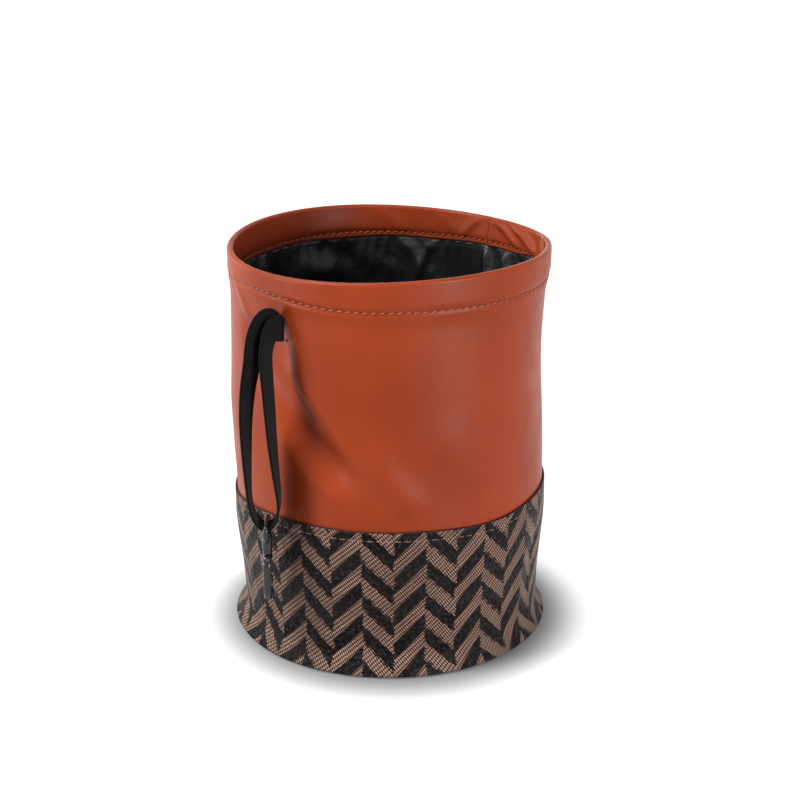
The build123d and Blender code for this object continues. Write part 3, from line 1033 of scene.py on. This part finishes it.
class CARBIN_OT_base(Operator):
    """Make the sheet under the base and finish the stiffeners hidden in the bin"""

    bl_idname = "carbin.base"
    bl_label = "Base And Stiffeners"

    def execute(self, context):
        low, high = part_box("base_panel")
        angles = round_angles(168)
        radii = np.linspace(high.x - 0.0002, 0.0002, 26)
        upper = [polar(radius, angles, high.z) for radius in radii]
        lower = []
        for radius in radii[::-1]:
            sag = 0.00018 * np.sin(np.radians(3 * angles) + 60 * radius) * (radius / high.x)
            lower.append(polar(radius, angles, low.z + sag + 0.0002))
        points = np.array(lower + upper)
        sheet = add_sheet("base_sheet", points, {"cut": flat_map(points)}, [underside_finish()])
        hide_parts("base_panel")
        dress("rim_hoop", plastic_finish("hoop_plastic", (0.75, 0.75, 0.72)))
        dress("base_board", plastic_finish("board_plastic", (0.03, 0.03, 0.03)))
        return {"FINISHED"}


class CARBIN_OT_lining(Operator):
    """Make the loose black lining, its floor and its bare woven label"""

    bl_idname = "carbin.lining"
    bl_label = "Lining"

    def execute(self, context):
        finish = nylon_finish()
        self.hang_wall(finish)
        self.lay_floor(finish)
        self.sew_label()
        return {"FINISHED"}

    def hang_wall(self, finish):
        """The loose tube under the facing, finer near the mouth."""
        angles = round_angles(LINING_COLUMNS)
        near_mouth = np.linspace(lining_high.z - 0.0005, 0.140, 60)
        heights = np.append(near_mouth, np.linspace(0.138, 0.0052, 56))
        inner = rows_at(heights, angles, lining_radius_at)
        outer = rows_at(heights[::-2], angles, lining_radius_at, -LINING_THICKNESS)
        points = np.array(inner + outer)
        cut = cut_map(angles, np.append(points[:, 0, 2], points[0, 0, 2]), lining_high.x)
        wall = add_sheet("lining_hang", points, {"cut": cut}, [finish])
        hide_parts("lining_wall")

    def lay_floor(self, finish):
        """The rumpled round floor, which lies on the board."""
        _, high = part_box("lining_floor")
        angles = round_angles(LINING_COLUMNS)
        rows = []
        for radius in np.linspace(high.x - 0.0006, 0.0002, 48):
            swirl = np.radians(4 * angles) + 90 * radius + 2 * np.sin(np.radians(3 * angles))
            rumple = 0.5 + 0.5 * np.sin(swirl)
            calm = math.sin(math.pi * radius / high.x) * smooth(0.0, 0.035, radius)
            rows.append(polar(radius, angles, high.z + 0.0016 * rumple * calm))
        under = [row - np.array([0, 0, LINING_THICKNESS]) for row in rows[::-1]]
        points = np.array(rows + under)
        floor = add_sheet("lining_base", points, {"cut": flat_map(points)}, [finish])
        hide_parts("lining_floor")

    def sew_label(self):
        """A bare woven patch that lies on the lining."""
        low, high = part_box("lining_label")
        columns = np.linspace(*LABEL_ANGLES, 40)
        heights = np.linspace(high.z, low.z, 44)
        face_gap, back_gap = 0.00055, 0.00005
        face = rows_at(heights, columns, lining_radius_at, face_gap)
        back = rows_at(heights[::-1], columns, lining_radius_at, back_gap)
        points = np.array(face + back)
        across = np.radians(columns - LABEL_ANGLES[0]) * lining_high.x
        lay = lay_map(across, np.append(points[:, 0, 2], points[0, 0, 2]))
        label = add_sheet("woven_label", points, {"cut": lay}, [label_finish()], wrap_columns=False)
        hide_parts("lining_label")


class CARBIN_OT_strap(Operator):
    """Make the webbing loop along its route"""

    bl_idname = "carbin.strap"
    bl_label = "Strap"

    def execute(self, context):
        s = sizes()
        half, deep = s.strap_width / 2, s.strap_thickness / 2
        middle, rail = [], []
        for x, y, z, heading, rise in STRAP_ROUTE:
            tilt = math.radians(rise)
            across = Vector(polar(math.cos(tilt), heading, math.sin(tilt)))
            middle.append(Vector((x, y, z)) * MM)
            rail.append(middle[-1] + across * half)
        path = route_points("strap_route", middle)
        edge = route_points("strap_edge", rail)
        section = [(sign * x * half, sign * y * deep) for sign in (1, -1) for x, y in WEBBING_SECTION]
        rows, lengths, run = [], [], 0.0
        for i, point in enumerate(path):
            travel = (path[min(i + 1, len(path) - 1)] - path[max(i - 1, 0)]).normalized()
            across = edge[i] - point
            across = (across - travel * across.dot(travel)).normalized()
            normal = travel.cross(across)
            run += (point - path[i - 1]).length if i else 0.0
            lengths.append(run)
            rows.append([point + across * x + normal * y for x, y in section])
        points = np.array(rows)
        v = np.array([x for x, _ in section] + [section[0][0]])
        lay = lay_map(v, np.array(lengths))[:, :, ::-1]  # its length first
        mesh = grid_mesh("webbing_loop", points, {"cut": lay})
        mesh = closed_ends(mesh, len(section), len(rows))
        strap = add_object("webbing_loop", mesh, [webbing_finish()])
        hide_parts("strap_loop")
        return {"FINISHED"}


class CARBIN_OT_stitching(Operator):
    """Sew the hem, the band, the base and the strap's slit"""

    bl_idname = "carbin.stitching"
    bl_label = "Stitching"

    def execute(self, context):
        s = sizes()
        pale = thread_finish("pale_thread", colours().thread)
        tan = thread_finish("tan_thread", (0.40, 0.22, 0.11))
        black = thread_finish("black_thread", (0.008, 0.008, 0.008))
        hem = round_stitches(s.hem_stitches, hem_place, outwards=1, lean=0.3, share=0.64, wander=0.1)
        facing = round_stitches(s.hem_stitches, facing_place, outwards=-1, lean=-0.3, share=0.64, wander=0.1)
        band = round_stitches(s.band_stitches, band_place, outwards=1, lean=0.0, share=0.82, wander=0.03)
        sew("hem_thread", hem, s.thread_radius, pale)
        sew("facing_thread", facing, s.thread_radius, pale)
        sew("band_thread", band, 0.75 * s.thread_radius, tan)
        sew("base_thread", self.base_row(), 0.6 * s.thread_radius, black)
        sew("slit_thread", self.slit_bars(), SLIT_BAR_RADIUS, black)
        return {"FINISHED"}

    def base_row(self):
        """Stitches through the edge of the band that is turned under the base."""
        ring = sizes().base_radius - 0.6 * sizes().flap_width
        level, length = 0.0003, 0.0038
        row = []
        for k in range(BASE_STITCHES):
            angle = k * 360 / BASE_STITCHES
            row.append((Vector(polar(ring, angle, level)), outward(angle + 90), Vector((0, 0, -1)), length))
        return row

    def slit_bars(self):
        """Short bars of thread that close the lower end of the strap's slit."""
        along = outward(STRAP_ANGLE + 90) + Vector((0, 0, 0.1))
        stand_off, length = 0.0003, 0.0026
        bars = []
        for height in SLIT_BAR_HEIGHTS:
            radius = float(wall_radius_at(STRAP_ANGLE, height)) + stand_off
            bars.append((Vector(polar(radius, STRAP_ANGLE, height)), along, outward(STRAP_ANGLE), length))
        return bars


class CARBIN_OT_hook(Operator):
    """Finish the swivel snap hook"""

    bl_idname = "carbin.hook"
    bl_label = "Snap Hook"

    def execute(self, context):
        enamel = enamel_finish()
        for node in ("hook_eye", "hook_body", "hook_gate"):
            dress(node, enamel)
        steel = steel_finish()
        for node in ("gate_pin", "gate_spring"):
            dress(node, steel)
        return {"FINISHED"}


def add_lamp(name, place, aim, width, power):
    """A rectangular softbox aimed at a point."""
    lamp = bpy.data.lights.new(name, "AREA")
    lamp.shape = "RECTANGLE"
    lamp.size = width
    lamp.size_y = LAMP_HEIGHT
    lamp.energy = power
    holder = link(name, lamp)
    holder.location = place
    holder.rotation_euler = (Vector(aim) - Vector(place)).to_track_quat("-Z", "Y").to_euler()


class CARBIN_OT_stage(Operator):
    """Set the floor, the soft light and the camera"""

    bl_idname = "carbin.stage"
    bl_label = "Stage"

    def execute(self, context):
        scene = context.scene
        scene.view_settings.view_transform = "Standard"
        self.make_floor()
        self.light_world(scene)
        for name, lamp in LAMPS.items():
            add_lamp(name, *lamp)
        eye = bpy.data.cameras.new("photo_view")
        eye.lens = CAMERA_LENS
        eye.sensor_width = CAMERA_SENSOR
        holder = link("photo_view", eye)
        holder.location = CAMERA_PLACE
        holder.rotation_euler = (math.radians(CAMERA_TILT), 0, 0)
        scene.camera = holder
        return {"FINISHED"}

    def make_floor(self):
        """A pale floor that is white where it is seen and keeps the bin's shadow; its glow dims in a ring
        about the bin, a painted contact shadow.
        """
        half, level = 6.0, -0.0003
        corners = [(-half, -half, level), (half, -half, level), (half, half, level), (-half, half, level)]
        mesh = bpy.data.meshes.new("floor")
        mesh.from_pydata(corners, [], [(0, 1, 2, 3)])
        floor = link("floor", mesh)
        f = Finish("pale_floor", roughness=0.9, specular=0.0)
        dark, light = (0.25, 0.25, 0.25), (0.27, 0.27, 0.27)
        f.set("Base Color", f.mix(f.noise(f.place(), 3, 2), dark, light))
        # painted shadow: the floor's glow fades in a ring about the bin's base, centred a little right of
        # and in front of it
        painted_shadow_middle = (0.002, -0.004, 0)
        from_middle = f.add("ShaderNodeVectorMath", {0: f.place(), 1: painted_shadow_middle}, operation="SUBTRACT")
        across, along, _ = f.split(from_middle.outputs[0])
        painted_shadow_glow = f.between(f.distance(across, along), 0.076, 0.109, 0.08, 1.0)
        f.set("Emission Color", (1, 1, 1, 1))
        f.set("Emission Strength", f.times(f.seen(), painted_shadow_glow))
        mesh.materials.append(f.material)

    def light_world(self, scene):
        """A white surround for what is seen and reflected, and softer light for the rest."""
        world = bpy.data.worlds.new("white_surround")
        world.use_nodes = True
        nodes = Nodes(world.node_tree)
        strength = nodes.add("ShaderNodeMapRange", {"Value": nodes.seen(), "To Min": WORLD_LIGHT}).outputs[0]
        surround = nodes.add("ShaderNodeBackground", {"Color": (1, 1, 1, 1), "Strength": strength})
        nodes.add("ShaderNodeOutputWorld", {"Surface": surround.outputs[0]})
        scene.world = world


class CARBIN_PT_pieces(Panel):
    """Lists the bin's pieces, sizes and colours"""

    bl_idname = "CARBIN_PT_pieces"
    bl_label = "Car Bin"
    bl_space_type = "VIEW_3D"
    bl_region_type = "UI"
    bl_category = "Car Bin"

    def draw(self, context):
        for operator in OPERATORS:
            self.layout.operator(operator.bl_idname)
        for group in (context.scene.car_bin_sizes, context.scene.car_bin_finish):
            box = self.layout.box()
            for name in group.__annotations__:
                box.prop(group, name)


OPERATORS = (
    CARBIN_OT_stage,
    CARBIN_OT_strap,
    CARBIN_OT_leather_wall,
    CARBIN_OT_printed_band,
    CARBIN_OT_base,
    CARBIN_OT_lining,
    CARBIN_OT_stitching,
    CARBIN_OT_hook,
)
CLASSES = (CarBinSizes, CarBinFinish, *OPERATORS, CARBIN_PT_pieces)


def register():
    for cls in CLASSES:
        bpy.utils.register_class(cls)
    bpy.types.Scene.car_bin_sizes = PointerProperty(type=CarBinSizes)
    bpy.types.Scene.car_bin_finish = PointerProperty(type=CarBinFinish)


def unregister():
    del bpy.types.Scene.car_bin_finish
    del bpy.types.Scene.car_bin_sizes
    for cls in reversed(CLASSES):
        bpy.utils.unregister_class(cls)


def main():
    register()
    bpy.ops.carbin.stage()
    bpy.ops.carbin.strap()
    bpy.ops.carbin.leather_wall()
    bpy.ops.carbin.printed_band()
    bpy.ops.carbin.base()
    bpy.ops.carbin.lining()
    bpy.ops.carbin.stitching()
    bpy.ops.carbin.hook()


if __name__ == "__main__":
    main()
